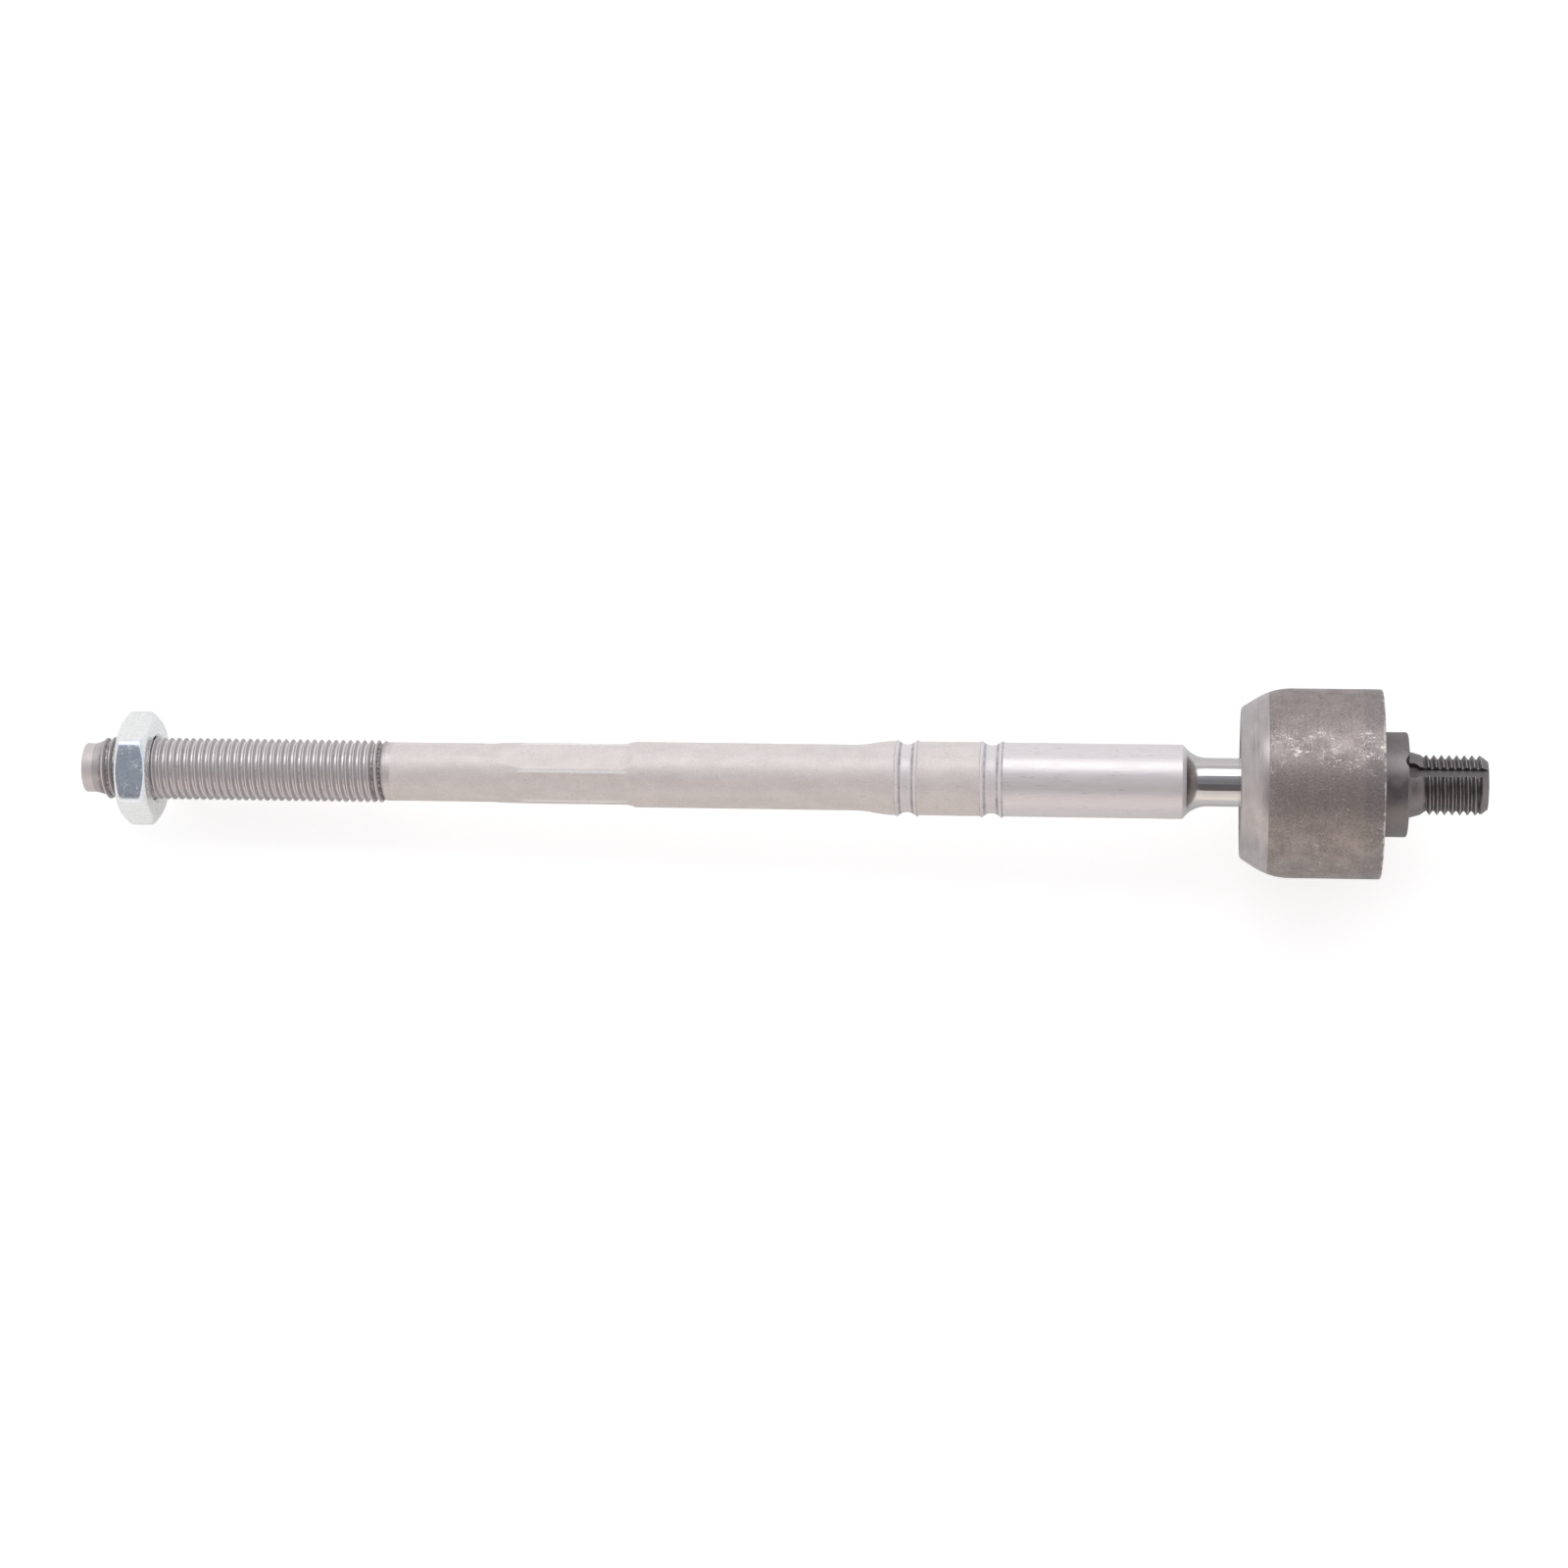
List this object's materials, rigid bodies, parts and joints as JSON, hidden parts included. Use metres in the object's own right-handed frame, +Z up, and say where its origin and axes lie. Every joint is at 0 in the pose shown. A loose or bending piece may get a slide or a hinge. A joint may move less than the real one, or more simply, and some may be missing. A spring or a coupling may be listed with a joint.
{
  "type": "inner tie rod",
  "caption": "Steering inner tie rod: long threaded rod with jam nut, wrench hexagon and boot grooves, ball joint housing with slotted threaded rack stub.",
  "frame": {"origin": "centre of the ball", "axes": "+X along the rod's axis, from the ball towards the rack stub; +Z up, with the part lying on its housing and nut"},
  "size_m": [0.2863, 0.038, 0.038],
  "materials": {
    "rod_steel": "satin, bare steel",
    "housing_steel": "dark, oiled and scuffed",
    "seat_polymer": "moulded",
    "nut_steel": "bright zinc"
  },
  "bodies": {
    "housing": {"housing": "housing_steel"},
    "seat": {"ball_seat": "seat_polymer"},
    "rod": {"tie_rod": "rod_steel"},
    "nut": {"jam_nut": "nut_steel"}
  },
  "joints": [
    {"name": "seat_swivel", "type": "hinge", "parent": "housing", "child": "seat", "pos_m": [0, 0, 0], "axis": [1, 0, 0], "continuous": true},
    {"name": "rod_tilt", "type": "hinge", "parent": "seat", "child": "rod", "pos_m": [0, 0, 0], "axis": [0, 0, 1], "range_deg": [-20, 20]},
    {"name": "nut_travel", "type": "slide", "parent": "rod", "child": "nut", "axis": [1, 0, 0], "range_m": [-0.004, 0.046]}
  ]
}
